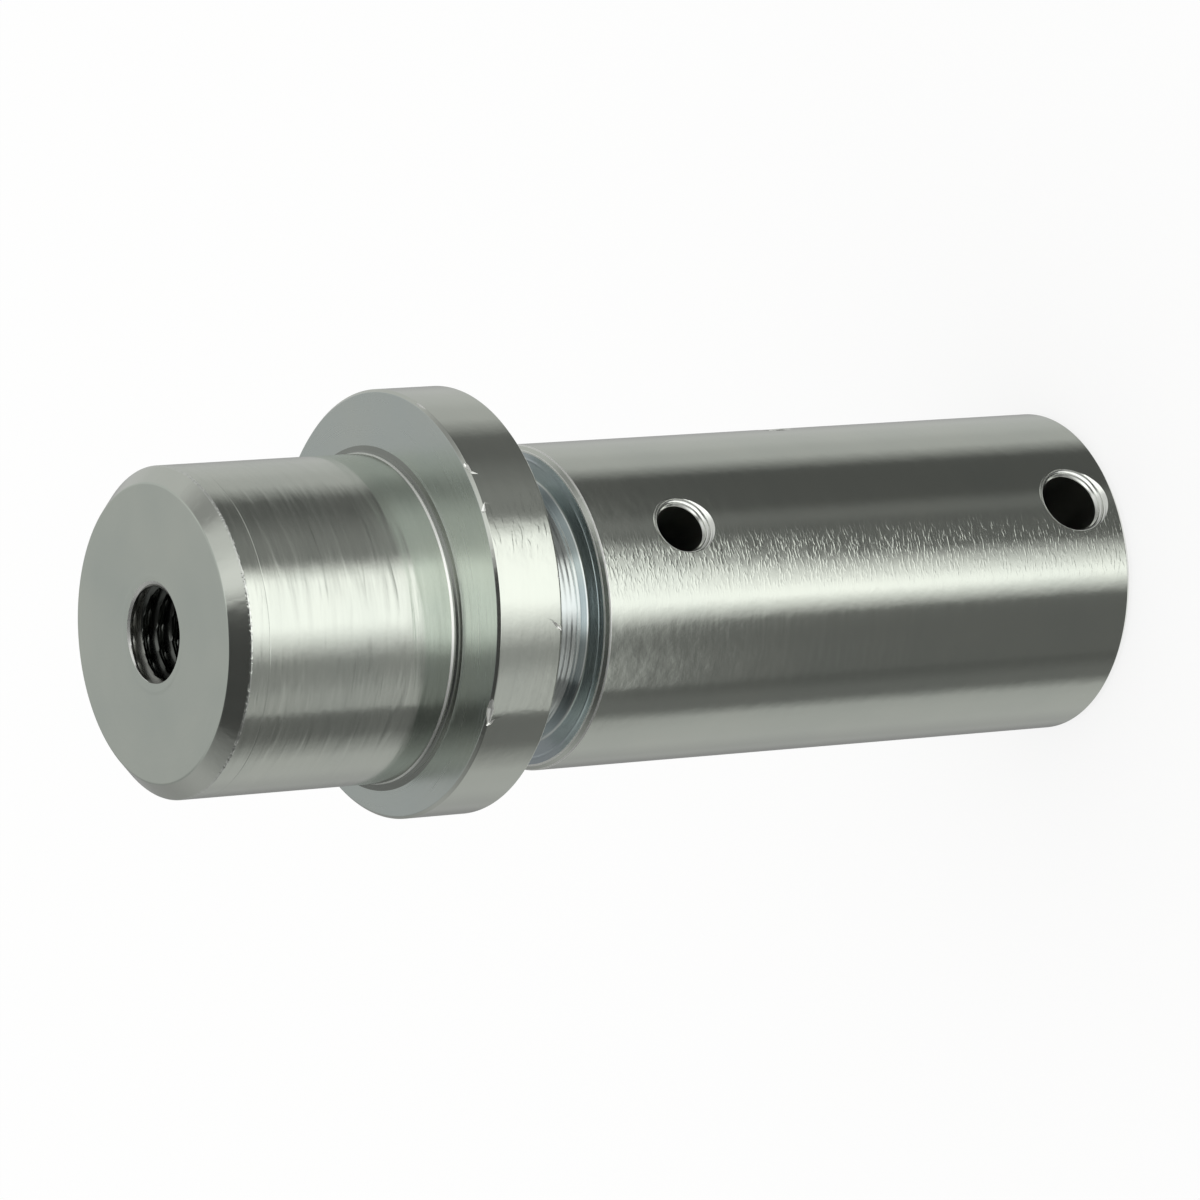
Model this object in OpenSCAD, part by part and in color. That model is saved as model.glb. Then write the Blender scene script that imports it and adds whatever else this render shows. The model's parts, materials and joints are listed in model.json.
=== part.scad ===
// Tie rod pin: one turned steel pin, standing on the end of its shank.
// The Z axis is the pin's own axis. Z = 0 is the shank's end face and the threaded stub points up.
// The collar is turned off-centre toward -Y, and the two larger cross holes open on that same side.

/* [Shank] */
// Diameter of the shank
shank_d = 30; // [27:0.5:38]
// Length from the shank's end face to its shoulder
shank_len = 58.6; // [45:0.2:90]
// Chamfer on the shank's end
shank_end_chamfer = 0.7; // [0.2:0.1:1.4]
// Bevel on the shank's shoulder
shoulder_bevel = 0.45; // [0.1:0.05:0.9]
// How far the shoulder wall leans back between the relief floor and the bevel
shoulder_lean = 0.35; // [0:0.05:0.8]

/* [Relief behind the collar] */
// Diameter of the relief's floor
relief_d = 24.8; // [18:0.2:26]
// Width from the collar's back face to the shank's shoulder
relief_w = 9.5; // [5:0.5:15]
// Radius that the turning tool leaves in the relief's corners
relief_corner_r = 0.4; // [0.1:0.1:0.8]

/* [Collar] */
// Diameter of the collar
collar_d = 39; // [38:0.5:46]
// Thickness of the collar
collar_t = 6.8; // [4:0.2:12]
// Distance between the collar's axis and the pin's axis
collar_offset = 2.7; // [0:0.1:3]
// Bevel on both rims of the collar
collar_bevel = 0.2; // [0.1:0.1:1]

/* [Stub] */
// Diameter of the stub
stub_d = 30; // [24:0.5:31]
// Length of the stub in front of the collar
stub_len = 22.9; // [15:0.1:40]
// Chamfer on the stub's end
stub_chamfer = 1.5; // [0.5:0.1:3]
// Fillet where the stub meets the collar
stub_root_r = 0.7; // [0.2:0.1:1]

/* [Threaded port in the stub] */
// Nominal diameter of the thread
port_thread_d = 10; // [8:1:14]
// Pitch of the thread
port_thread_pitch = 1.5; // [1:0.25:2]
// Depth of the tapped hole, down to the start of its drill point
port_depth = 20; // [12:1:26]
// Chamfer on the port's rim
port_rim_chamfer = 0.2; // [0.1:0.1:1]

/* [Grease gallery] */
// Diameter of the drilling along the axis
gallery_d = 5; // [3.5:0.5:6]
// Angle of the drill points
drill_point_angle = 118; // [90:1:140]

/* [Grease outlet] */
// Diameter of the countersunk outlet
outlet_d = 4.6; // [3:0.2:6]
// Distance from the shank's shoulder to the outlet
outlet_from_shoulder = 9.5; // [5:0.5:14]
// Depth of the outlet's countersink
outlet_countersink = 0.85; // [0.3:0.05:1.5]

/* [Oil hole] */
// Diameter of the small hole at the middle of the shank
oil_hole_d = 3; // [2:0.2:4]
// Height of the oil hole above the shank's end
oil_hole_z = 30.1; // [20:0.1:38]
// Angle of the oil hole round the pin, counted from the outlet
oil_hole_angle = 60; // [30:1:150]
// Depth of the oil hole's countersink
oil_hole_countersink = 0.15; // [0.05:0.05:0.5]

/* [Locking hole] */
// Diameter of the cross hole that goes through the shank
locking_hole_d = 5.6; // [4:0.2:7]
// Height of the locking hole above the shank's end
locking_hole_z = 5.2; // [5:0.1:12]
// Depth of the locking hole's countersinks
locking_countersink = 0.9; // [0.3:0.05:1]

/* [Hidden] */
$fn = 128;

// How far a cutter stands out of the surface that it cuts
overcut = 1;
// How far a joined shape reaches into its neighbour
overlap = 0.5;
shank_r = shank_d / 2;
relief_r = relief_d / 2;
collar_r = collar_d / 2;
stub_r = stub_d / 2;
collar_back_z = shank_len + relief_w;
collar_front_z = collar_back_z + collar_t;
stub_end_z = collar_front_z + stub_len;
shoulder_wall_z = shank_len + shoulder_bevel + shoulder_lean;
port_tap_r = (port_thread_d - port_thread_pitch) / 2;
port_rim_r = port_tap_r + port_rim_chamfer;
port_floor_z = stub_end_z - port_depth;
gallery_r = gallery_d / 2;
outlet_z = shank_len - outlet_from_shoulder;
steel = [0.64, 0.66, 0.64];

function drill_point_len(r) = r / tan(drill_point_angle / 2);

// Shank with its end chamfer, leaning shoulder and relief, as one turned section
module shank_section() {
    polygon([
        [0, 0],
        [shank_r - shank_end_chamfer, 0],
        [shank_r, shank_end_chamfer],
        [shank_r, shank_len],
        [shank_r - shoulder_bevel, shank_len + shoulder_bevel],
        [relief_r, shoulder_wall_z],
        [relief_r, collar_back_z + overlap],
        [0, collar_back_z + overlap]
    ]);
}

// Stub with its end chamfer
module stub_section() {
    polygon([
        [0, collar_front_z - overlap],
        [stub_r, collar_front_z - overlap],
        [stub_r, stub_end_z - stub_chamfer],
        [stub_r - stub_chamfer, stub_end_z],
        [0, stub_end_z]
    ]);
}

// Corner of radius r that fills the inside angle at [radius, z], opening upward or downward
module inside_corner_section(radius, z, r, upward = true) {
    translate([radius, z])
        mirror([0, upward ? 0 : 1])
            difference() {
                translate([-overlap, -overlap])
                    square([r + overlap, r + overlap]);
                translate([r, r])
                    circle(r = r);
            }
}

// Collar, turned about its own axis beside the pin's axis
module collar() {
    translate([0, -collar_offset, 0])
        rotate_extrude()
            polygon([
                [0, collar_back_z],
                [collar_r - collar_bevel, collar_back_z],
                [collar_r, collar_back_z + collar_bevel],
                [collar_r, collar_front_z - collar_bevel],
                [collar_r - collar_bevel, collar_front_z],
                [0, collar_front_z]
            ]);
}

// All that is turned about the pin's own axis, with the seam of its faces on the side of the larger holes
module turned_body() {
    rotate([0, 0, -90]) {
        rotate_extrude()
            shank_section();
        rotate_extrude()
            stub_section();
        rotate_extrude()
            inside_corner_section(stub_r, collar_front_z, stub_root_r);
        rotate_extrude()
            inside_corner_section(relief_r, collar_back_z, relief_corner_r, upward = false);
    }
}

// Tap-size hole in the stub's end, with its broken rim, its drill point and the drilling below it
module port_and_gallery() {
    rotate_extrude()
        polygon([
            [0, stub_end_z + overcut],
            [port_rim_r + overcut, stub_end_z + overcut],
            [port_tap_r, stub_end_z - port_rim_chamfer],
            [port_tap_r, port_floor_z],
            [0, port_floor_z - drill_point_len(port_tap_r)]
        ]);
    rotate_extrude()
        polygon([
            [0, port_floor_z],
            [gallery_r, port_floor_z],
            [gallery_r, oil_hole_z],
            [0, oil_hole_z - drill_point_len(gallery_r)]
        ]);
}

// Radial hole from the axis out through the shank's front, turned by angle, with a countersink at its mouth
module radial_hole(d, z, countersink, angle = 0) {
    hole_r = d / 2;
    rotate([0, 0, angle])
        translate([0, 0, z])
            rotate([90, 0, 0])
                rotate_extrude()
                    polygon([
                        [0, 0],
                        [hole_r, 0],
                        [hole_r, shank_r - countersink],
                        [hole_r + countersink + overcut, shank_r + overcut],
                        [0, shank_r + overcut]
                    ]);
}

module tie_rod_pin() {
    color(steel)
        difference() {
            union() {
                turned_body();
                collar();
            }
            port_and_gallery();
            radial_hole(outlet_d, outlet_z, outlet_countersink);
            radial_hole(oil_hole_d, oil_hole_z, oil_hole_countersink, oil_hole_angle);
            radial_hole(locking_hole_d, locking_hole_z, locking_countersink);
            radial_hole(locking_hole_d, locking_hole_z, locking_countersink, 180);
        }
}

tie_rod_pin();
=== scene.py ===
"""Looks of a turned, zinc-plated tie rod pin that stands on the end of its shank."""

import json
import logging
import math
from dataclasses import dataclass, replace
from enum import IntEnum
from typing import Any

import bpy
import numpy as np
from mathutils import Matrix, Vector


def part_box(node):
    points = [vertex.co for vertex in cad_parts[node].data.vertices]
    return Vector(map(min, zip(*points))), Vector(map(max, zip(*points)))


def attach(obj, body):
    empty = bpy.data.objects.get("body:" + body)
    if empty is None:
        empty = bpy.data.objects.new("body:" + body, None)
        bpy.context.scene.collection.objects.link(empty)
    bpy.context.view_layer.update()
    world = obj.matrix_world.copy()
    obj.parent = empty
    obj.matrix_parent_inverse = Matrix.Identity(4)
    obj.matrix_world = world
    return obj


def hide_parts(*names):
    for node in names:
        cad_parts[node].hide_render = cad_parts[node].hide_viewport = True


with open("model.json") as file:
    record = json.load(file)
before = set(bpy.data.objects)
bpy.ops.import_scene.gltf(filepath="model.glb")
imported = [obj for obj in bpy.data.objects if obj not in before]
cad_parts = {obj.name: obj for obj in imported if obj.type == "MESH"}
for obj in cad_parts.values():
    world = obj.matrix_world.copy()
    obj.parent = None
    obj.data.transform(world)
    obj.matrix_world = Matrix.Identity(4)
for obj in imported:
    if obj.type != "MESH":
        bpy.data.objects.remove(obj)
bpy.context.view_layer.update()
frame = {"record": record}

log = logging.getLogger("tie_rod_pin")

Tree = bpy.types.NodeTree
Socket = bpy.types.NodeSocket

MM = 0.001
MICRON = 0.000001
NODE = "tie_rod_pin"
BODY = "root"


class Zone(IntEnum):
    """Stretches of the pin that take different finishes, some of them with painted light or shade."""

    GROUND = 0
    TURNED = 1
    FACED = 2
    RELIEF = 3
    CUT = 4
    THREAD = 5
    BORE = 6
    SINK = 7
    RIM = 8
    LIP = 9
    FLANK = 10
    BURR = 11
    ROOT = 12
    WALL = 13
    MOUTH = 14
    ENTRY = 15


def mount(name: str) -> dict[str, Any]:
    """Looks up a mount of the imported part.

    Args:
        name: The mount's name in the record.

    Returns:
        The mount's entry, with its place, axis and sizes.
    """
    return next(entry for entry in frame["record"]["mounts"] if entry["name"] == name)


def linear(colour: str) -> tuple[float, float, float, float]:
    """Turns an sRGB hex colour into linear RGBA.

    Args:
        colour: Six hex digits after a hash sign.

    Returns:
        Linear red, green and blue, with an alpha of one.
    """
    parts = [int(colour[place : place + 2], 16) / 255 for place in (1, 3, 5)]
    red, green, blue = (part / 12.92 if part <= 0.04045 else ((part + 0.055) / 1.055) ** 2.4 for part in parts)
    return (red, green, blue, 1.0)


def grey(level: float) -> tuple[float, float, float, float]:
    """Gives a neutral linear colour of one level."""
    return (level, level, level, 1.0)


def add_node(tree: Tree, kind: str, inputs: dict[Any, Any] | None = None, **settings: Any) -> bpy.types.Node:
    """Adds a node with its settings, values and links.

    Args:
        tree: The node tree that takes the node.
        kind: The node's type name.
        inputs: Values, or sockets to link from, by the input's name or number.
        settings: Properties of the node.

    Returns:
        The new node.
    """
    node = tree.nodes.new(kind)
    for name, value in settings.items():
        setattr(node, name, value)
    for key, value in (inputs or {}).items():
        if isinstance(value, Socket):
            tree.links.new(value, node.inputs[key])
        else:
            node.inputs[key].default_value = value
    return node


def calculate(tree: Tree, operation: str, *values: Any) -> Socket:
    """Adds a calculation with numbers or sockets, as a Math node names it."""
    return add_node(tree, "ShaderNodeMath", dict(enumerate(values)), operation=operation).outputs[0]


def calculate_vector(tree: Tree, operation: str, *values: Any) -> Socket:
    """Adds a calculation with vectors, which gives a number for a length or a dot product."""
    node = add_node(tree, "ShaderNodeVectorMath", dict(enumerate(values)), operation=operation)
    return node.outputs["Value" if operation in ("LENGTH", "DOT_PRODUCT") else "Vector"]


def scale_vector(tree: Tree, vector: Socket, factor: Any) -> Socket:
    """Adds a vector times a number or a socket."""
    return add_node(tree, "ShaderNodeVectorMath", {0: vector, "Scale": factor}, operation="SCALE").outputs[0]


def remap(tree: Tree, value: Socket, *spans: Any) -> Socket:
    """Adds a change from one span to another, to zero to one where only the first is given."""
    return add_node(tree, "ShaderNodeMapRange", dict(enumerate((value, *spans)))).outputs[0]


@dataclass(frozen=True)
class Corner:
    """A corner of the turned section, in millimetres.

    Attributes:
        radius: Distance from the axis.
        height: Height above the shank's end.
        edge: Radius that breaks or fills the corner, zero for a sharp one.
        zone: Finish of the stretch that follows the corner.
        step: Longest row of faces along that stretch.
        shift: Share of the collar's offset, one for a corner that is turned about the collar's own axis.
    """

    radius: float
    height: float
    edge: float = 0.0
    zone: Zone = Zone.TURNED
    step: float = 100.0
    shift: float = 0.0


@dataclass(frozen=True)
class Ring:
    """One ring of the turned mesh, in millimetres, with the finish of the band above it."""

    radius: float
    height: float
    zone: Zone
    shift: float = 0.0


# Points on a rounded edge, distance of the rows that support it, and how far a cutter stands out of the shank
ARC_STEPS = 5
SUPPORT = 0.06
OVERCUT = 1.0
HOLE_SEGMENTS = 96
CHIP_SEGMENTS = 16
# How far a countersink's cutter flares above the shank, so that it only breaks the edge
SINK_FLARE = 1.6
# One part in so many of a countersink's depth rounds its edges
SINK_PARTS = 6
# Rings that the countersink's tool left: share of the way up, and whether the ring stands out
SINK_CHATTER = ((0.3, 0), (0.42, 1), (0.54, 0), (0.7, 0), (0.8, 1), (0.9, 0))
# Span of the thread's rise, in turns, over which its flank goes from crest to root
FLANK_SPAN = (0.09, 0.43)
# Height in a ridge's own measure at which it flattens, how often it wavers per metre, and its wear from end to end
RIDGE_TOP = 0.3
RIDGE_WAVER = 700.0
RIDGE_WEAR = (2.0, 0.5)
# Angle in degrees above which an edge stays sharp, and how near a corner on the ground shank is to its radius
SHARP_ANGLE = 28.0
ON_SHANK = 0.004


def round_corners(corners: list[Corner]) -> list[Ring]:
    """Turns a section's corners into rings, with each edge rounded and each long stretch divided.

    Args:
        corners: The section from the pole under the shank to the pole in the bottom of the drilling.

    Returns:
        The rings in order, without the two poles.
    """
    points = [np.array((corner.radius, corner.height)) for corner in corners]
    rings: list[Ring] = []
    for place in range(1, len(corners)):
        here, before = points[place], points[place - 1]
        corner, last = corners[place], corners[place - 1]
        along = (here - before) / np.linalg.norm(here - before)
        start, finish = before, here
        arc: list[np.ndarray] = [here]
        if corner.edge > 0:
            after = points[place + 1]
            onward = (after - here) / np.linalg.norm(after - here)
            half_turn = math.acos(float(np.clip(along @ onward, -1, 1))) / 2
            back = corner.edge * math.tan(half_turn)
            finish = here - along * back
            inward = (onward - along) / np.linalg.norm(onward - along)
            centre = here + inward * corner.edge / math.cos(half_turn)
            turns = np.linspace(-half_turn, half_turn, ARC_STEPS)
            across = along * math.cos(half_turn) + onward * math.cos(half_turn)
            across /= np.linalg.norm(across)
            arc = [
                centre - inward * corner.edge * math.cos(turn) + across * corner.edge * math.sin(turn) for turn in turns
            ]
        if rings:
            start = np.array((rings[-1].radius, rings[-1].height))
        length = float(np.linalg.norm(finish - start))
        shares = np.linspace(0, 1, max(1, math.ceil(length / last.step)) + 1)[1:-1]
        if length > 4 * SUPPORT:
            # Rows close to both ends keep the shading of an edge from spreading over the stretch
            shares = np.unique(np.concatenate((shares, (SUPPORT / length, 1 - SUPPORT / length))))
        for share in shares:
            spot = start + (finish - start) * share
            rings.append(Ring(*spot, last.zone, last.shift + (corner.shift - last.shift) * share))
        if place == len(corners) - 1:
            break
        rings.extend(Ring(*spot, corner.zone, corner.shift) for spot in arc)
    return rings


def revolve(name: str, corners: list[Corner], segments: int, offset: float = 0.0) -> bpy.types.Mesh:
    """Turns a section about +Z into a closed mesh that carries its finish as a face attribute.

    Args:
        name: Name of the mesh.
        corners: The section, from one pole on the axis to the other.
        segments: Faces round the axis.
        offset: How far along -Y a fully shifted ring stands, in millimetres.

    Returns:
        The mesh, in metres.
    """
    rings = round_corners(corners)
    turns = np.arange(segments) * 2 * math.pi / segments
    round_way = np.stack((np.cos(turns), np.sin(turns)), axis=1)
    verts = [(0.0, 0.0, corners[0].height)]
    for ring in rings:
        shift = np.array((0.0, -offset * ring.shift))
        verts.extend((x, y, ring.height) for x, y in round_way * ring.radius + shift)
    verts.append((0.0, 0.0, corners[-1].height))
    following = (np.arange(segments) + 1) % segments
    faces: list[tuple[int, ...]] = []
    zones: list[int] = []
    for j, k in enumerate(following):
        faces.append((0, 1 + k, 1 + j))
        zones.append(int(corners[0].zone))
    for row, ring in enumerate(rings[:-1]):
        low = 1 + row * segments
        high = low + segments
        faces.extend((low + j, low + k, high + k, high + j) for j, k in enumerate(following))
        zones.extend([int(ring.zone)] * segments)
    last = 1 + (len(rings) - 1) * segments
    for j, k in enumerate(following):
        faces.append((last + j, last + k, len(verts) - 1))
        zones.append(int(rings[-1].zone))
    mesh = bpy.data.meshes.new(name)
    mesh.from_pydata((np.array(verts) * MM).tolist(), [], [tuple(int(v) for v in face) for face in faces])
    mesh.attributes.new("zone", "INT", "FACE").data.foreach_set("value", zones)
    mesh.update()
    return mesh


def place_object(name: str, mesh: bpy.types.Mesh) -> bpy.types.Object:
    """Puts a mesh into the scene as an object at the origin."""
    item = bpy.data.objects.new(name, mesh)
    bpy.context.scene.collection.objects.link(item)
    return item


def lay_along(way: Vector, centre: Any) -> Matrix:
    """Gives the move that turns +Z along a way and takes the origin to a centre in metres."""
    return Matrix.Translation(centre) @ way.to_track_quat("Z", "Y").to_matrix().to_4x4()


def bake(item: bpy.types.Object) -> None:
    """Replaces an object's mesh by what its modifiers make of it, and takes the modifiers off."""
    graph = bpy.context.evaluated_depsgraph_get()
    mesh = bpy.data.meshes.new_from_object(item.evaluated_get(graph), depsgraph=graph)
    item.modifiers.clear()
    item.data = mesh


@dataclass(frozen=True)
class Hole:
    """A hole drilled square to the axis, in millimetres and degrees.

    Attributes:
        name: What the hole is for.
        radius: Radius of the drilled wall.
        height: Height above the shank's end.
        countersink: Depth of the countersink at the mouth.
        turn: Angle round the pin, counted from -Y toward +X.
        through: Whether the hole comes out on the far side.
    """

    name: str
    radius: float
    height: float
    countersink: float
    turn: float = 0.0
    through: bool = False

    def section(self, shank_radius: float) -> list[Corner]:
        """Gives the section of the drill that leaves this hole.

        Args:
            shank_radius: Radius of the shank that is drilled.

        Returns:
            Corners along the drill's own axis.
        """
        out = shank_radius + OVERCUT
        mouth = shank_radius - self.countersink
        edge = self.countersink / SINK_PARTS
        rim = self.radius + self.countersink - edge
        chatter = [(share * (rim - self.radius), side * edge / 4) for share, side in SINK_CHATTER]
        lip = [
            Corner(self.radius, mouth, edge, zone=Zone.SINK),
            *(Corner(self.radius + up - stand, mouth + up + stand, zone=Zone.SINK) for up, stand in chatter),
            Corner(rim, shank_radius - edge, edge, zone=Zone.SINK),
            Corner(rim + SINK_FLARE * (OVERCUT + edge), out, zone=Zone.SINK),
        ]
        inner = [Corner(0, 0, zone=Zone.BORE), Corner(self.radius, 0, zone=Zone.BORE)]
        if self.through:
            far = [replace(corner, height=-corner.height) for corner in reversed(lip)]
            inner = [Corner(0, -out, zone=Zone.SINK), *far[:-1], replace(far[-1], zone=Zone.BORE)]
        return [*inner, *lip, Corner(0, out, zone=Zone.SINK)]


@dataclass(frozen=True)
class Chip:
    """A spindle-shaped chip out of the collar's rim, in millimetres and degrees.

    Attributes:
        turn: Angle round the collar, counted from -Y toward +X.
        height: Height above the shank's end.
        reach: Half the chip's length.
        depth: Depth at its middle.
        tilt: Angle between the chip and the rim's run.
    """

    turn: float
    height: float
    reach: float
    depth: float
    tilt: float = 0.0


@dataclass
class TurnedPin:
    """The whole pin, turned from one bar, with its port, drillings and thread.

    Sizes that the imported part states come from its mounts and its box. The others are fields, in millimetres,
    apart from the drill point in degrees and the thread's start in turns.
    """

    shank_end_chamfer: float = 0.7
    shank_len: float = 58.6
    shoulder_bevel: float = 0.45
    shoulder_lean: float = 0.35
    relief_radius: float = 12.4
    relief_corner: float = 0.4
    relief_ridge_pitch: float = 0.55
    relief_ridge_height: float = 0.05
    relief_ridge_fade: float = 5.0
    collar_bevel: float = 0.26
    stub_chamfer: float = 1.5
    stub_root: float = 0.7
    bead_width: float = 0.42
    bead_height: float = 0.12
    mark_depth: float = 0.03
    mark_from_chamfer: float = 1.9
    thread_radius: float = 5.0
    thread_pitch: float = 1.5
    thread_start: float = 0.04
    thread_runout: float = 3.0
    thread_lit: float = 1.4
    thread_in_view: float = 7.0
    port_rim_chamfer: float = 0.2
    burr_width: float = 0.5
    burr_height: float = 0.02
    port_depth: float = 20.0
    gallery_radius: float = 2.5
    gallery_floor: float = 30.1
    drill_point: float = 118.0
    broken_edge: float = 0.12
    plain_row: float = 2.0
    thread_row: float = 0.12
    segments: int = 256

    def __post_init__(self) -> None:
        """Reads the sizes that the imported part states."""
        low, high = (np.array(corner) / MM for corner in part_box(NODE))
        self.shank_radius: float = mount("shank")["dims"]["r_mm"]
        self.stub_radius: float = mount("stub")["dims"]["r_mm"]
        self.port_radius: float = mount("end_thread")["dims"]["r_mm"]
        self.collar_back: float = mount("collar_back")["pos_m"][2] / MM
        self.collar_front: float = mount("collar_front")["pos_m"][2] / MM
        self.stub_end: float = float(high[2])
        self.collar_radius: float = float(high[0] - low[0]) / 2
        self.collar_offset: float = float(-(high[1] + low[1]) / 2)
        locking = mount("locking_hole")
        self.holes = [
            Hole("grease_outlet", 2.3, 49.1, 0.85),
            Hole("oil_hole", 1.5, 30.1, 0.15, turn=60),
            Hole("locking_hole", locking["dims"]["r_mm"], locking["pos_m"][2] / MM, 0.9, through=True),
        ]
        front, back = self.collar_front - self.collar_bevel / 2, self.collar_back
        self.chips = [
            Chip(39.0, front, 2.0, 0.16, 3),
            Chip(11.5, front, 0.9, 0.26, 20),
            Chip(9.0, front - 0.3, 0.6, 0.16, 70),
            Chip(-2.5, front, 0.8, 0.24, -25),
            Chip(-57.0, front, 2.0, 0.42, 6),
            Chip(-61.0, front - 0.3, 0.6, 0.2, -50),
            Chip(-35.0, back + 0.5, 1.1, 0.2, 50),
            Chip(-22.0, back + 0.2, 0.4, 0.16, 15),
        ]

    def root_section(self) -> list[Corner]:
        """Gives the stub's root: a hollow corner of two facets with a fine bead above it.

        Returns:
            Corners from the collar's front face up to the stub's wall.
        """
        stub, front, root, bead = self.stub_radius, self.collar_front, self.stub_root, self.bead_width
        low = front + root - bead
        # The hollow corner takes the darker root finish as painted shade, and the bead the pale lip finish, partly a
        # painted highlight
        return [
            Corner(stub + root, front, self.broken_edge, Zone.ROOT),
            Corner(stub + 0.3 * root, front + 0.15 * root, self.broken_edge, Zone.ROOT),
            Corner(stub, low, 0, Zone.LIP),
            Corner(stub + self.bead_height, low + bead / 2, bead / 4, Zone.LIP),
            Corner(stub, low + bead, 0, Zone.TURNED, step=self.plain_row),
        ]

    def section(self) -> list[Corner]:
        """Gives the pin's turned section, up the outside and down into the port.

        Returns:
            Corners from the pole under the shank to the pole at the end of the drilling.
        """
        slope = math.tan(math.radians(self.drill_point / 2))
        edge = self.broken_edge
        shank, stub, collar = self.shank_radius, self.stub_radius, self.collar_radius
        shoulder_edge = shank - self.shoulder_bevel
        shoulder = self.shank_len + self.shoulder_bevel
        relief_start = shoulder + self.shoulder_lean
        # A fine ridge on the shoulder's wall, at a quarter to a third of its lean
        ridge_foot, ridge_end = shoulder + 0.25 * self.shoulder_lean, shoulder + 0.35 * self.shoulder_lean
        ridge_out, ridge_top, ridge_in = (shank - share * self.shoulder_bevel for share in (2.2, 2.5, 2.8))
        bevel = collar - self.collar_bevel
        port_floor = self.stub_end - self.port_depth
        port_rim = self.port_radius + self.port_rim_chamfer
        chamfer_start = self.stub_end - self.stub_chamfer
        tool_mark = chamfer_start - self.mark_from_chamfer
        return [
            Corner(0, 0, zone=Zone.FACED),
            Corner(shank - self.shank_end_chamfer, 0, edge, Zone.CUT),
            Corner(shank, self.shank_end_chamfer, edge, Zone.GROUND, step=self.plain_row),
            Corner(shank, self.shank_len, edge / 2, Zone.LIP),
            Corner(shank - edge, self.shank_len + edge, 0, Zone.CUT),
            Corner(shoulder_edge + edge / 2, shoulder - edge / 2, 0, Zone.LIP),
            Corner(shoulder_edge, shoulder, edge / 4, Zone.LIP),
            Corner(shoulder_edge - edge, shoulder + edge / 12, 0, Zone.WALL),
            Corner(ridge_out, ridge_foot, 0, Zone.WALL),
            Corner(ridge_top, ridge_foot + 2 * self.mark_depth, edge / 4, Zone.WALL),
            Corner(ridge_in, ridge_end, 0, Zone.WALL),
            Corner(self.relief_radius, relief_start, 2 * edge, Zone.RELIEF, step=0.14),
            Corner(self.relief_radius, self.collar_back, self.relief_corner, Zone.FLANK),
            Corner(bevel, self.collar_back, edge / 2, Zone.CUT, shift=1),
            Corner(collar, self.collar_back + self.collar_bevel, edge / 2, Zone.RIM, step=self.plain_row, shift=1),
            Corner(collar, self.collar_front - self.collar_bevel, edge / 2, Zone.CUT, shift=1),
            Corner(bevel, self.collar_front, edge / 2, Zone.FLANK, shift=1),
            *self.root_section(),
            Corner(stub, tool_mark - self.mark_depth, edge / 4, Zone.CUT),
            Corner(stub - self.mark_depth, tool_mark, edge / 4, Zone.CUT),
            Corner(stub, tool_mark + self.mark_depth, edge / 4, Zone.TURNED),
            # A band round the chamfer's edge takes the burr finish, whose paler colour is partly a painted highlight
            Corner(stub, chamfer_start - edge, 0, Zone.BURR),
            Corner(stub, chamfer_start, edge / 2, Zone.BURR),
            Corner(stub - edge, chamfer_start + edge, 0, Zone.CUT),
            Corner(stub - self.stub_chamfer, self.stub_end, 2.5 * edge, Zone.FACED),
            Corner(self.thread_radius + self.burr_width, self.stub_end, zone=Zone.FACED),
            Corner(self.thread_radius + self.burr_width / 3, self.stub_end + self.burr_height, zone=Zone.MOUTH),
            Corner(port_rim, self.stub_end, zone=Zone.LIP),
            # The first turns take a lighter finish as painted light from outside, and the deeper thread a darker one as
            # painted shade
            Corner(self.port_radius, self.stub_end - self.port_rim_chamfer, zone=Zone.ENTRY, step=self.thread_row),
            Corner(self.port_radius, self.stub_end - self.thread_lit, zone=Zone.THREAD, step=self.thread_row),
            Corner(self.port_radius, self.stub_end - self.thread_in_view, zone=Zone.THREAD, step=0.4),
            Corner(self.port_radius, port_floor, zone=Zone.BORE),
            Corner(self.gallery_radius, port_floor - (self.port_radius - self.gallery_radius) / slope, zone=Zone.BORE),
            Corner(self.gallery_radius, self.gallery_floor, zone=Zone.BORE),
            Corner(0, self.gallery_floor - self.gallery_radius / slope, zone=Zone.BORE),
        ]

    def cut(self, pin: bpy.types.Object, tool_mesh: bpy.types.Mesh) -> None:
        """Takes a tool's shape out of the pin.

        Args:
            pin: The turned object.
            tool_mesh: The closed shape to take away, which is removed afterwards.
        """
        tool = place_object("tool", tool_mesh)
        step = pin.modifiers.new("cut", "BOOLEAN")
        step.operation = "DIFFERENCE"
        step.solver = "EXACT"
        step.object = tool
        bake(pin)
        bpy.data.objects.remove(tool)
        bpy.data.meshes.remove(tool_mesh)

    def knock(self, pin: bpy.types.Object) -> None:
        """Takes the chips out of the collar's rims.

        Args:
            pin: The turned object.
        """
        for chip in self.chips:
            profile = ((0, -chip.reach), (chip.depth, 0), (0, chip.reach))
            mesh = revolve("chip", [Corner(*spot, zone=Zone.LIP) for spot in profile], CHIP_SEGMENTS)
            turn, tilt = math.radians(chip.turn), math.radians(chip.tilt)
            centre = Vector((math.sin(turn), -math.cos(turn), 0.0)) * self.collar_radius
            centre += Vector((0, -self.collar_offset, chip.height))
            run = Vector((math.cos(turn) * math.cos(tilt), math.sin(turn) * math.cos(tilt), math.sin(tilt)))
            mesh.transform(lay_along(run, centre * MM))
            self.cut(pin, mesh)

    def drill(self, pin: bpy.types.Object) -> None:
        """Cuts the cross holes into the pin.

        Args:
            pin: The turned object.
        """
        for hole in self.holes:
            mesh = revolve(hole.name, hole.section(self.shank_radius), HOLE_SEGMENTS)
            turn = math.radians(hole.turn)
            way = Vector((math.sin(turn), -math.cos(turn), 0.0))
            mesh.transform(lay_along(way, (0, 0, hole.height * MM)))
            self.cut(pin, mesh)

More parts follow.
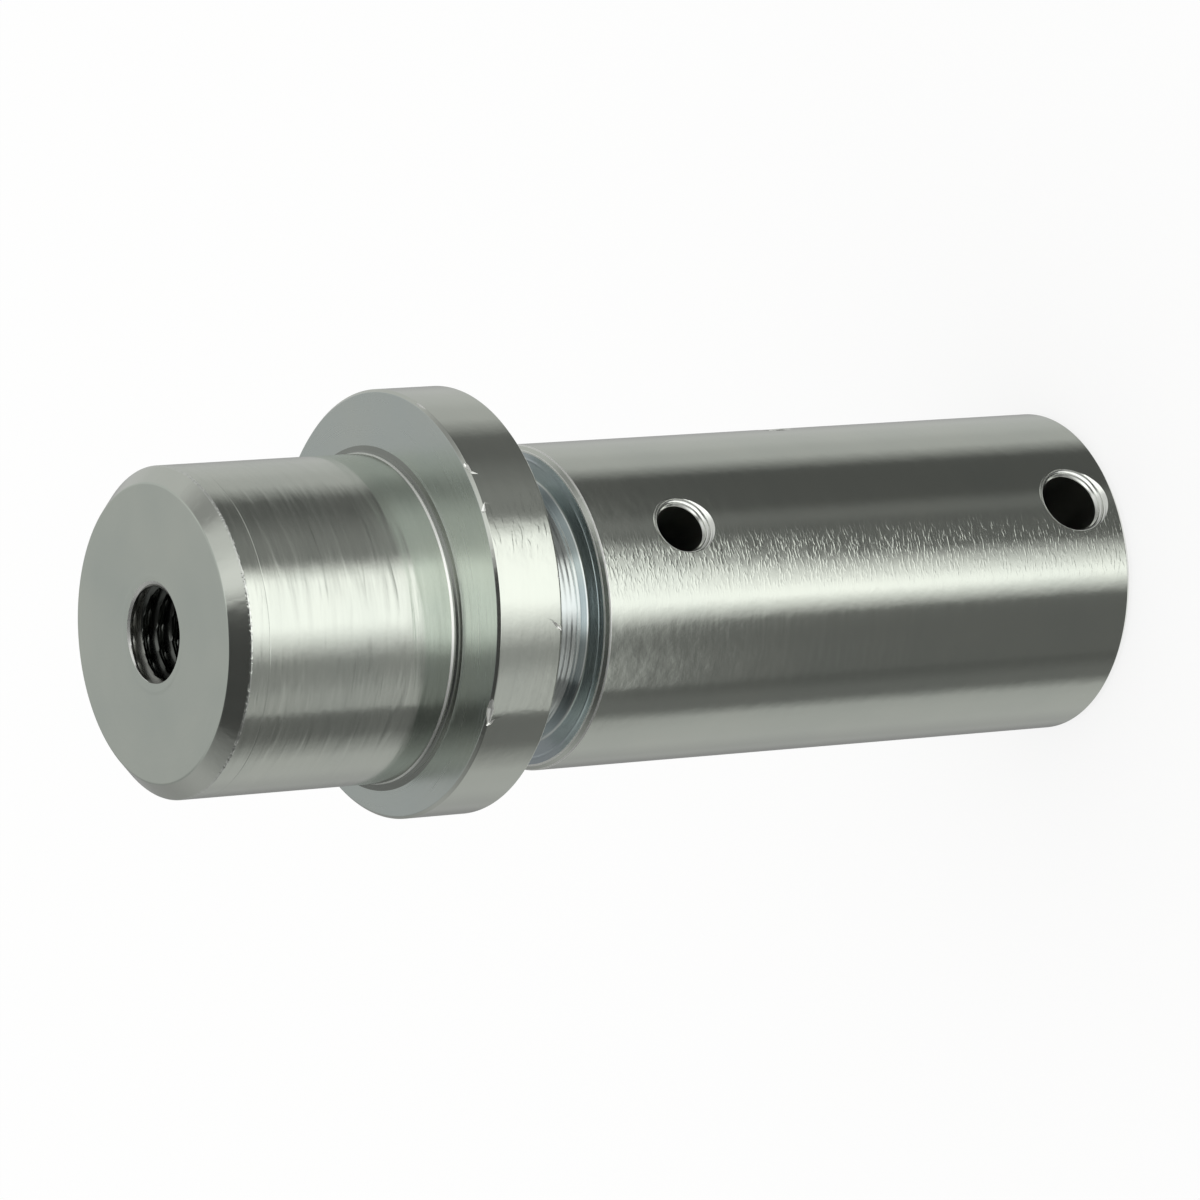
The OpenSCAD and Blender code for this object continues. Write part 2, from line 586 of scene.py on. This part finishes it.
    def marks_tree(self, names: list[str], finishes: dict[Zone, bpy.types.Material]) -> Tree:
        """Makes the node tree that chases the thread, ridges the relief's floor and sets each stretch's finish.

        Args:
            names: Names of the sizes that the tree takes.
            finishes: The material of each zone.

        Returns:
            The tree, with its sizes as named inputs in metres.
        """
        tree = bpy.data.node_groups.new("thread_and_tool_marks", "GeometryNodeTree")
        face = tree.interface
        face.new_socket("Geometry", in_out="INPUT", socket_type="NodeSocketGeometry")
        for name in names:
            face.new_socket(name, in_out="INPUT", socket_type="NodeSocketFloat")
        face.new_socket("Geometry", in_out="OUTPUT", socket_type="NodeSocketGeometry")
        given = add_node(tree, "NodeGroupInput").outputs

        place = add_node(tree, "GeometryNodeInputPosition").outputs[0]
        axes = add_node(tree, "ShaderNodeSeparateXYZ", {0: place}).outputs
        up = axes["Z"]
        flat = add_node(tree, "ShaderNodeCombineXYZ", {"X": axes["X"], "Y": axes["Y"]}).outputs[0]
        outward = calculate_vector(tree, "NORMALIZE", flat)
        zone = add_node(tree, "GeometryNodeInputNamedAttribute", {"Name": "zone"}, data_type="INT").outputs["Attribute"]
        picks: dict[Zone, Socket] = {}
        for wanted in Zone:
            same = add_node(
                tree, "FunctionNodeCompare", {2: zone, 3: int(wanted)}, data_type="INT", operation="EQUAL"
            ).outputs[0]
            # Judged face by face as a number, so that the rings on a border belong to both sides
            picks[wanted] = add_node(
                tree, "GeometryNodeFieldOnDomain", {0: same}, data_type="FLOAT", domain="FACE"
            ).outputs[0]

        turn = calculate(tree, "DIVIDE", calculate(tree, "ARCTAN2", axes["Y"], axes["X"]), 2 * math.pi)
        lead = calculate(tree, "SUBTRACT", calculate(tree, "DIVIDE", up, given["Thread pitch"]), turn)
        lead = calculate(tree, "ADD", lead, given["Thread start"])
        groove = remap(tree, calculate(tree, "PINGPONG", lead, 0.5), *FLANK_SPAN)
        rise = calculate(tree, "SUBTRACT", up, given["Runout start"])
        runout = remap(tree, rise, 0.0, given["Runout length"])
        depth = calculate(tree, "MULTIPLY", calculate(tree, "MULTIPLY", groove, runout), given["Thread depth"])
        # The groove is cut to its own radius, so that it breaks out through the rim
        wall = calculate(tree, "ADD", depth, given["Tap radius"])
        push = calculate(tree, "SUBTRACT", wall, calculate_vector(tree, "LENGTH", flat))
        thread_move = scale_vector(tree, outward, calculate(tree, "MAXIMUM", push, 0.0))
        tapped = picks[Zone.THREAD]
        for wanted in (Zone.ENTRY, Zone.LIP, Zone.MOUTH):
            tapped = add_node(tree, "FunctionNodeBooleanMath", {0: tapped, 1: picks[wanted]}, operation="OR").outputs[0]

        ridge = calculate(tree, "PINGPONG", calculate(tree, "DIVIDE", up, given["Ridge pitch"]), 0.5)
        hump = calculate(tree, "SMOOTH_MIN", ridge, RIDGE_TOP, RIDGE_TOP)
        waver = add_node(
            tree, "ShaderNodeTexNoise", {"W": up, "Scale": RIDGE_WAVER, "Detail": 1.0}, noise_dimensions="1D"
        ).outputs[0]
        worn = remap(tree, up, given["Ridge fade"], self.collar_back * MM, *RIDGE_WEAR)
        hump = calculate(tree, "MULTIPLY", calculate(tree, "MULTIPLY", hump, waver), worn)
        ridge_move = scale_vector(tree, outward, calculate(tree, "MULTIPLY", hump, given["Ridge height"]))

        shape = given["Geometry"]
        for pick, move in ((tapped, thread_move), (picks[Zone.RELIEF], ridge_move)):
            shape = add_node(
                tree, "GeometryNodeSetPosition", {"Geometry": shape, "Selection": pick, "Offset": move}
            ).outputs[0]
        shape = add_node(tree, "GeometryNodeRealizeInstances", {0: shape}).outputs[0]
        for wanted, material in finishes.items():
            shape = add_node(
                tree, "GeometryNodeSetMaterial", {"Geometry": shape, "Selection": picks[wanted], "Material": material}
            ).outputs[0]
        add_node(tree, "NodeGroupOutput", {0: shape})
        return tree

    def mark(self, pin: bpy.types.Object, finishes: dict[Zone, bpy.types.Material]) -> None:
        """Runs the tree of tool marks on the pin and keeps its result as a plain mesh.

        Args:
            pin: The drilled object.
            finishes: The material of each zone.
        """
        sizes = {
            "Thread pitch": self.thread_pitch * MM,
            "Thread depth": (self.thread_radius - self.port_radius) * MM,
            "Thread start": self.thread_start,
            "Tap radius": self.port_radius * MM,
            "Runout start": (self.stub_end - self.port_depth) * MM,
            "Runout length": self.thread_runout * MM,
            "Ridge pitch": self.relief_ridge_pitch * MM,
            "Ridge height": self.relief_ridge_height * MM,
            "Ridge fade": (self.shank_len + self.relief_ridge_fade) * MM,
        }
        tree = self.marks_tree(list(sizes), finishes)
        step = pin.modifiers.new("tool_marks", "NODES")
        step.node_group = tree
        for item in tree.interface.items_tree:
            if item.in_out == "INPUT" and item.name in sizes:
                step[item.identifier] = sizes[item.name]
        bake(pin)

    def smooth(self, mesh: bpy.types.Mesh) -> None:
        """Shades the turned surfaces smooth, with true normals on the ground shank.

        Args:
            mesh: The finished mesh.
        """
        mesh.shade_smooth()
        mesh.set_sharp_from_angle(angle=math.radians(SHARP_ANGLE))
        count = len(mesh.loops)
        corner_vertex = np.empty(count, dtype=np.int32)
        mesh.loops.foreach_get("vertex_index", corner_vertex)
        spots = np.empty(len(mesh.vertices) * 3)
        mesh.vertices.foreach_get("co", spots)
        spots = spots.reshape(-1, 3)[corner_vertex]
        zone = np.empty(len(mesh.polygons), dtype=np.int32)
        mesh.attributes["zone"].data.foreach_get("value", zone)
        sides = np.empty(len(mesh.polygons), dtype=np.int32)
        mesh.polygons.foreach_get("loop_total", sides)
        plain = np.repeat(zone == int(Zone.GROUND), sides)
        reach = np.hypot(spots[:, 0], spots[:, 1])
        plain &= np.abs(reach - self.shank_radius * MM) < ON_SHANK * MM
        normals = np.zeros((count, 3))
        normals[plain, :2] = spots[plain, :2] / reach[plain, None]
        mesh.normals_split_custom_set(normals.tolist())

    def build(self, finishes: dict[Zone, bpy.types.Material]) -> bpy.types.Object:
        """Turns, knocks, drills, threads and shades the pin.

        Args:
            finishes: The material of each zone.

        Returns:
            The finished object, at the origin.
        """
        mesh = revolve("turned_pin", self.section(), self.segments, self.collar_offset)
        pin = place_object("turned_pin", mesh)
        self.knock(pin)
        self.drill(pin)
        self.mark(pin, finishes)
        self.smooth(pin.data)
        return pin


def noise(
    tree: Tree,
    place: Socket,
    scale: float = 1.0,
    detail: float = 2.0,
    roughness: float = 0.5,
    distortion: float = 0.0,
) -> Socket:
    """Adds a noise pattern from zero to one, taken at a place."""
    inputs = {"Vector": place, "Scale": scale, "Detail": detail, "Roughness": roughness, "Distortion": distortion}
    return add_node(tree, "ShaderNodeTexNoise", inputs).outputs[0]


def raise_bump(tree: Tree, height: Socket, microns: float, strength: Any = 1.0, **under: Any) -> Socket:
    """Adds a bump as high as the pattern, over the bump that is given as Normal."""
    inputs = {"Strength": strength, "Distance": microns * MICRON, "Height": height, **under}
    return add_node(tree, "ShaderNodeBump", inputs).outputs[0]


# Span of the patches' noise over which the tool's lines go from worn to deep, and how much of them shows at its ends
WEAR = (0.38, 0.64, 0.25, 1.0)
# Span of the lines' own noise over which their roughness changes
LINE_SPAN = (0.3, 0.7)
# Size of the patches of film, in millimetres
FILM_SIZE = 9.0


@dataclass(frozen=True)
class PlatedSteel:
    """Bright zinc plate over machined steel: it mirrors the room, and the tool's lines break the mirror up.

    Attributes:
        name: Name of the material.
        colour: Colour of the plate.
        tint: Colour of the faint passivation film that drifts over it.
        roughness: Roughness between the tool's lines.
        roughness_spread: How far the lines differ in roughness.
        line_pitch: Spacing of the tool's lines, in millimetres.
        line_height: Height of those lines, in microns.
        line_length: How far a line goes before it changes, in radians.
        patch_size: Size of the patches where the lines are deeper or worn, in millimetres.
        scratch_width: Width of the short scratches along the tool's lines, in millimetres.
        scratch_length: Length of those scratches.
        scratch_depth: Depth of them, in microns.
        scratch_share: Level of the pattern above which it stands out, from sparse at one to everywhere at zero.
        scratch_soft: Span of the pattern over which a scratch deepens.
        scratch_turn: Middle of the side that is scratched, in degrees round the pin from -Y toward +X.
        scratch_reach: Half the width of that side in degrees, 180 for all round.
        smear: How far the finest rings smear a reflection along the pin, from zero to one.
        grain_size: Size of the plate's faint dimples, in millimetres.
        grain_height: Height of them, in microns.
    """

    name: str
    colour: str = "#d7dbd0"
    tint: str = "#cad0c7"
    roughness: float = 0.2
    roughness_spread: float = 0.1
    line_pitch: float = 0.25
    line_height: float = 2.0
    line_length: float = 0.7
    patch_size: float = 6.0
    scratch_width: float = 0.3
    scratch_length: float = 1.2
    scratch_depth: float = 0.0
    scratch_share: float = 0.5
    scratch_soft: float = 0.2
    scratch_turn: float = 0.0
    scratch_reach: float = 180.0
    smear: float = 0.0
    grain_size: float = 1.6
    grain_height: float = 10.0

    def scratch(self, tree: Tree, flat: Socket, path: Socket, normal: Socket) -> Socket:
        """Adds the short scratches along the tool's lines.

        Args:
            tree: The material's node tree.
            flat: Socket with the place across the axis.
            path: Socket with the place along the tool's path.
            normal: Socket with the bump under the scratches.

        Returns:
            The socket with the bent normal.
        """
        spread = scale_vector(tree, flat, 1 / (self.scratch_length * MM))
        lift = scale_vector(tree, path, 1 / (self.scratch_width * MM))
        pattern = noise(tree, calculate_vector(tree, "ADD", spread, lift), detail=1.0, distortion=0.4)
        pattern = remap(tree, pattern, self.scratch_share, self.scratch_share + self.scratch_soft)
        turn, half = math.radians(self.scratch_turn), math.radians(self.scratch_reach)
        way = calculate_vector(tree, "NORMALIZE", flat)
        facing = calculate_vector(tree, "DOT_PRODUCT", way, (math.sin(turn), -math.cos(turn), 0.0))
        side = remap(tree, facing, math.cos(half) - 0.001, math.cos(half / 2))
        return raise_bump(tree, pattern, self.scratch_depth, side, Normal=normal)

    def make(self) -> bpy.types.Material:
        """Builds the material's nodes.

        Returns:
            The material.
        """
        material = bpy.data.materials.new(self.name)
        material.use_nodes = True
        tree = material.node_tree
        tree.nodes.clear()
        place = add_node(tree, "ShaderNodeTexCoord").outputs["Object"]
        axes = add_node(tree, "ShaderNodeSeparateXYZ", {0: place}).outputs
        flat = add_node(tree, "ShaderNodeCombineXYZ", {"X": axes["X"], "Y": axes["Y"]}).outputs[0]
        # Height plus reach runs along the tool's path on a cylinder, a cone and a face alike
        path = calculate(tree, "ADD", axes["Z"], calculate_vector(tree, "LENGTH", flat))
        path = add_node(tree, "ShaderNodeCombineXYZ", {"Z": path}).outputs[0]
        spread = scale_vector(tree, calculate_vector(tree, "NORMALIZE", flat), 1 / self.line_length)
        lift = scale_vector(tree, path, 1 / (self.line_pitch * MM))
        lines = noise(tree, calculate_vector(tree, "ADD", spread, lift), detail=3.0, roughness=0.6)
        worn = remap(tree, noise(tree, place, 1 / (self.patch_size * MM)), *WEAR)
        normal = raise_bump(tree, lines, self.line_height, worn)
        grain = noise(tree, place, 1 / (self.grain_size * MM), detail=3.0)
        normal = raise_bump(tree, grain, self.grain_height, Normal=normal)
        if self.scratch_depth > 0:
            normal = self.scratch(tree, flat, path, normal)
        film = noise(tree, place, 1 / (FILM_SIZE * MM))
        colours = {0: film, 6: linear(self.colour), 7: linear(self.tint)}
        half = self.roughness_spread / 2
        steel = add_node(
            tree,
            "ShaderNodeBsdfPrincipled",
            {
                "Base Color": add_node(tree, "ShaderNodeMix", colours, data_type="RGBA").outputs[2],
                "Metallic": 1.0,
                "Roughness": remap(tree, lines, *LINE_SPAN, self.roughness - half, self.roughness + half),
                "Normal": normal,
                "Anisotropic": self.smear,
                "Tangent": add_node(tree, "ShaderNodeCombineXYZ", {"Z": 1.0}).outputs[0],
            },
        )
        add_node(tree, "ShaderNodeOutputMaterial", {0: steel.outputs[0]})
        return material


def finishes() -> dict[Zone, bpy.types.Material]:
    """Makes the finish of each zone.

    Returns:
        The materials by zone.
    """
    # Faced and plated: rings round the centre, too fine to count
    faced = PlatedSteel(
        "faced_zinc_plate",
        colour="#dadfd4",
        tint="#c4cdc5",
        line_height=1.5,
        scratch_width=0.9,
        scratch_length=3.0,
        scratch_depth=4.0,
    ).make()
    return {
        Zone.FACED: faced,
        Zone.MOUTH: faced,
        # Ground and plated: nearly a mirror, with short scratches that fray the edges of the reflections
        Zone.GROUND: PlatedSteel(
            "ground_zinc_plate",
            roughness=0.13,
            roughness_spread=0.03,
            line_pitch=0.5,
            line_height=1.0,
            grain_height=11.0,
            scratch_width=0.24,
            scratch_length=0.8,
            scratch_depth=5.0,
            scratch_turn=-16.0,
            scratch_reach=15.0,
        ).make(),
        # The collar's rim, ground as well but hardly scratched
        Zone.RIM: PlatedSteel(
            "rim_zinc_plate",
            roughness=0.13,
            roughness_spread=0.03,
            line_pitch=0.5,
            line_height=0.5,
            grain_height=14.0,
            scratch_width=0.5,
            scratch_length=1.6,
            scratch_depth=3.0,
            scratch_turn=-6.0,
            scratch_reach=9.0,
        ).make(),
        # Turned and plated: fine rings round the pin smear the reflections along it
        Zone.TURNED: PlatedSteel(
            "turned_zinc_plate",
            roughness=0.18,
            smear=0.4,
            line_pitch=0.6,
            line_height=12.0,
            scratch_width=1.1,
            scratch_length=8.0,
            scratch_depth=16.0,
            scratch_share=0.4,
            scratch_soft=0.35,
        ).make(),
        # Faces beside the collar and the shoulder: the same plate under a bluer film
        Zone.FLANK: PlatedSteel(
            "flank_zinc_plate", colour="#d3d8d0", tint="#c8d2d0", roughness=0.24, line_pitch=0.3
        ).make(),
        # The shoulder's wall: the same plate under a deeper blue film, darker as painted shade in the step
        Zone.WALL: PlatedSteel("shoulder_zinc_plate", colour="#c4cac8", tint="#b0bcc4", line_pitch=0.3).make(),
        # The stub's hollow root: a darker colour, painted shade in the hollow corner
        Zone.ROOT: PlatedSteel(
            "root_thin_plate", colour="#a0a49e", tint="#8c908a", roughness=0.26, line_pitch=0.3
        ).make(),
        # Burr along the stub's edge: torn plate that glitters through its scratches, its paler colour partly a painted
        # highlight
        Zone.BURR: PlatedSteel(
            "burred_zinc_plate",
            colour="#e8eae4",
            scratch_width=0.2,
            scratch_length=0.35,
            scratch_depth=22.0,
            scratch_share=0.45,
        ).make(),
        # Rough turned in one pass: bright ridges with soft valleys
        Zone.RELIEF: PlatedSteel(
            "relief_zinc_plate", tint="#c3ccd0", roughness=0.14, line_pitch=0.3, line_height=3.0
        ).make(),
        # Chamfers: a clean cut that catches the light, frayed along its edges
        Zone.CUT: PlatedSteel(
            "cut_zinc_plate", colour="#dcdfd6", roughness=0.16, line_pitch=0.35, line_height=5.0, scratch_depth=4.0
        ).make(),
        # Countersinks: the brightest plate, over the rings of the tool's chatter
        Zone.SINK: PlatedSteel("countersunk_zinc_plate", colour="#e8eae4", tint="#dfe2dc", line_height=1.5).make(),
        # Lips, beads and chips that a tool or a knock left: too rough to mirror, pale partly as worn metal and partly
        # as a painted highlight along the edges
        Zone.LIP: PlatedSteel(
            "lip_zinc_plate", colour="#f4f5f1", tint="#eceee8", roughness=0.4, line_height=1.0
        ).make(),
        # The thread's first turn: plated over, in a lighter colour that is painted light where light from outside
        # reaches into the port
        Zone.ENTRY: PlatedSteel(
            "tapped_zinc_plate", colour="#a8aaa4", tint="#8b8c86", roughness=0.28, line_height=1.0
        ).make(),
        # Tapped thread: a dark colour, painted shade deep in the port
        Zone.THREAD: PlatedSteel(
            "tapped_steel", colour="#6e716d", tint="#5a5d59", roughness=0.22, line_height=1.0
        ).make(),
        # Drilled walls: dull, with a film of oil
        Zone.BORE: PlatedSteel(
            "drilled_oily_steel", colour="#a2a39d", tint="#8b8c86", roughness=0.34, line_pitch=0.4, line_height=10.0
        ).make(),
    }


@dataclass(frozen=True)
class Band:
    """A stretch of the studio's wall, by its azimuth in degrees and how bright it is."""

    start: float
    finish: float
    level: float


@dataclass(frozen=True)
class PanelRow:
    """One row of soft panels and dark flags round the studio.

    Attributes:
        bottom: Height of the row's lower edge, in metres.
        fade: Height over which it blends into the row below.
        bands: The row's panels, in order of azimuth from -180 to 180 degrees.
    """

    bottom: float
    fade: float
    bands: tuple[Band, ...]


# The pale back of the studio, which every row shares
BACK_WALL = (Band(-7, 4, 0.51), Band(14, 34, 0.56), Band(66, 84, 0.28), Band(97, 104, 0.41), Band(120, 139, 0.5))

# The flag beside it, which draws the line under the shank's dark side
SHANK_FLAG = (Band(146, 149, 0.48), Band(158, 166, 0.17), Band(175, 180, 0.12))


@dataclass
class Studio:
    """White studio: a pale floor, even light, and a wall of soft panels and dark flags that the metal mirrors."""

    floor_size: float = 12.0
    wall_radius: float = 0.5
    wall_height: float = 3.0
    floor_colour: str = "#fbfbfa"
    shadow_share: float = 0.22
    segments: int = 96
    rows: tuple[PanelRow, ...] = (
        # White floor with the camera's side in shade, which edges that face down mirror
        PanelRow(
            -1.5,
            0.01,
            (
                Band(-180, -32, 0.12), Band(-10, 30, 0.28), Band(50, 110, 0.9), Band(130, 145, 0.4),
                Band(165, 180, 0.1),
            ),
        ),
        # Low row, which the shank's far half mirrors
        PanelRow(
            -0.45,
            0.05,
            (
                Band(-180, -135, 0.14), Band(-120, -117, 1.4), Band(-93, -72, 0.13), Band(-66, -62, 0.18),
                Band(-54, -22, 0.1), *BACK_WALL, *SHANK_FLAG,
            ),
        ),
        # Next row, where the bright panel widens, which the shank's near half mirrors
        PanelRow(
            -0.288,
            0.024,
            (
                Band(-180, -136, 0.13), Band(-120, -101, 1.36), Band(-85, -72, 0.14), Band(-66, -62, 0.17),
                Band(-54, -22, 0.1), *BACK_WALL, *SHANK_FLAG,
            ),
        ),
        # Row that the relief and the collar mirror
        PanelRow(
            -0.255,
            0.006,
            (
                Band(-180, -160, 0.66), Band(-150, -144, 0.45), Band(-120, -85, 1.46), Band(-74, -60, 0.29),
                Band(-36, -22, 0.16), *BACK_WALL, Band(160, 176, 0.19),
            ),
        ),
        # Row that the stub mirrors
        PanelRow(
            -0.217,
            0.006,
            (
                Band(-180, -166, 0.4), Band(-158, -141, 0.27), Band(-118, -88, 1.44), Band(-74, -56, 0.21),
                Band(-36, -22, 0.11), *BACK_WALL, Band(160, 176, 0.14),
            ),
        ),
        # High row, which the faces mirror and the collar throws back onto the stub
        PanelRow(
            -0.13,
            0.08,
            (
                Band(-180, -146, 0.33), Band(-130, -83, 1.45), Band(-74, -46, 0.68), Band(-24, -14, 0.32),
                Band(4, 44, 0.58), Band(58, 66, 0.48), Band(82, 100, 0.32), Band(118, 124, 0.42), Band(162, 176, 0.09),
            ),
        ),
        # Ceiling with a dark flag over the camera, which the chamfers mirror
        PanelRow(
            0.48,
            0.1,
            (
                Band(-180, -100, 0.06), Band(-80, -66, 0.9), Band(-46, -28, 0.68), Band(-18, -14, 0.4),
                Band(0, 20, 0.62), Band(50, 120, 0.5), Band(160, 180, 0.06),
            ),
        ),
    )

    def wall_material(self) -> bpy.types.Material:
        """Makes the wall's glow, by azimuth within each row.

        Returns:
            The material.
        """
        material = bpy.data.materials.new("studio_panels")
        material.use_nodes = True
        material.cycles.emission_sampling = "NONE"
        tree = material.node_tree
        tree.nodes.clear()
        place = add_node(tree, "ShaderNodeTexCoord").outputs["Object"]
        axes = add_node(tree, "ShaderNodeSeparateXYZ", {0: place}).outputs
        share = remap(tree, calculate(tree, "ARCTAN2", axes["Y"], axes["X"]), -math.pi, math.pi)
        glow = None
        for row in self.rows:
            ramp = add_node(tree, "ShaderNodeValToRGB", {0: share})
            stops = [(edge, band.level) for band in row.bands for edge in (band.start, band.finish)]
            elements = ramp.color_ramp.elements
            while len(elements) < len(stops):
                elements.new(1.0)
            for element, (edge, level) in zip(elements, stops):
                element.position = (edge + 180) / 360
                element.color = grey(level)
            if glow is None:
                glow = ramp.outputs[0]
                continue
            rise = remap(tree, axes["Z"], row.bottom, row.bottom + row.fade)
            glow = add_node(tree, "ShaderNodeMix", {0: rise, 6: glow, 7: ramp.outputs[0]}, data_type="RGBA").outputs[2]
        light = add_node(tree, "ShaderNodeEmission", {0: glow, 1: 1.0})
        add_node(tree, "ShaderNodeOutputMaterial", {0: light.outputs[0]})
        return material

    def build_wall(self) -> bpy.types.Object:
        """Stands the wall of panels round the pin, where only reflections see it.

        Returns:
            The wall.
        """
        half = self.wall_height / 2 / MM
        far = self.wall_radius / MM
        section = [Corner(0, -half), Corner(far, -half), Corner(far, half), Corner(0, half)]
        wall = place_object("studio_panels", revolve("studio_panels", section, self.segments))
        wall.data.materials.append(self.wall_material())
        wall.visible_camera = False
        wall.visible_diffuse = False
        wall.visible_shadow = False
        return wall

    def build_floor(self) -> bpy.types.Object:
        """Lays the pale floor, which keeps a soft shadow of the pin.

        Returns:
            The floor.
        """
        material = bpy.data.materials.new("white_studio_floor")
        material.use_nodes = True
        tree = material.node_tree
        tree.nodes.clear()
        matt = add_node(tree, "ShaderNodeBsdfDiffuse", {"Color": linear(self.floor_colour)}).outputs[0]
        white = add_node(tree, "ShaderNodeEmission", {"Color": grey(1.0), "Strength": 1.0}).outputs[0]
        seen = add_node(tree, "ShaderNodeLightPath").outputs["Is Camera Ray"]
        lift = calculate(tree, "MULTIPLY", seen, 1 - self.shadow_share)
        mixed = add_node(tree, "ShaderNodeMixShader", {0: lift, 1: matt, 2: white}).outputs[0]
        add_node(tree, "ShaderNodeOutputMaterial", {0: mixed})
        half = self.floor_size / 2
        mesh = bpy.data.meshes.new("floor")
        mesh.from_pydata([(-half, -half, 0), (half, -half, 0), (half, half, 0), (-half, half, 0)], [], [(0, 1, 2, 3)])
        mesh.materials.append(material)
        floor = place_object("floor", mesh)
        floor.visible_glossy = False
        floor.visible_shadow = False
        return floor

    def build_world(self) -> None:
        """Lights the studio evenly from all round."""
        world = bpy.data.worlds.new("even_studio_light")
        world.use_nodes = True
        tree = world.node_tree
        tree.nodes.clear()
        light = add_node(tree, "ShaderNodeBackground", {"Color": grey(1.0), "Strength": 1.0})
        add_node(tree, "ShaderNodeOutputWorld", {0: light.outputs[0]})
        bpy.context.scene.world = world

    def build(self) -> None:
        """Sets up floor, wall and light."""
        self.build_floor()
        self.build_wall()
        self.build_world()
        bpy.context.scene.view_settings.view_transform = "Standard"


@dataclass(frozen=True)
class PinCamera:
    """Long lens above the stub's end, turned on its side so that the pin lies across the picture.

    Attributes:
        aim: Point on the line of sight, in metres.
        distance: From the camera to that point.
        azimuth: Heading of the line of sight from +Y toward +X, in degrees.
        elevation: Angle of the line of sight below the horizon, in degrees.
        roll: Turn of the picture about the line of sight, in degrees.
        lens: Focal length for a square picture, in millimetres.
    """

    aim: tuple[float, float, float] = (0.000978, 0.001614, 0.0489)
    distance: float = 0.77156
    azimuth: float = 25.794
    elevation: float = 32.726
    roll: float = -94.076
    lens: float = 249.87

    def build(self) -> bpy.types.Object:
        """Places the camera and makes it the scene's own.

        Returns:
            The camera's object.
        """
        heading, drop = math.radians(self.azimuth), math.radians(self.elevation)
        sight = Vector((math.sin(heading) * math.cos(drop), math.cos(heading) * math.cos(drop), -math.sin(drop)))
        data = bpy.data.cameras.new("photo_view")
        data.lens = self.lens
        data.sensor_fit = "HORIZONTAL"
        data.sensor_width = 36.0
        data.clip_start = 0.01
        data.clip_end = 50.0
        camera = bpy.data.objects.new("photo_view", data)
        bpy.context.scene.collection.objects.link(camera)
        upright = sight.to_track_quat("-Z", "Y").to_matrix()
        camera.matrix_world = Matrix.Translation(Vector(self.aim) - sight * self.distance) @ (
            upright @ Matrix.Rotation(math.radians(self.roll), 3, "Z")
        ).to_4x4()
        bpy.context.scene.camera = camera
        return camera


def main() -> None:
    """Builds the camera, the studio and the pin, and reports the piece."""
    logging.basicConfig(level=logging.INFO, format="%(message)s")
    PinCamera().build()
    Studio().build()
    pin = TurnedPin().build(finishes())
    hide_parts(NODE)
    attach(pin, BODY)
    log.info("%s: %d faces, %d materials", pin.name, len(pin.data.polygons), len(pin.data.materials))


if __name__ == "__main__":
    main()
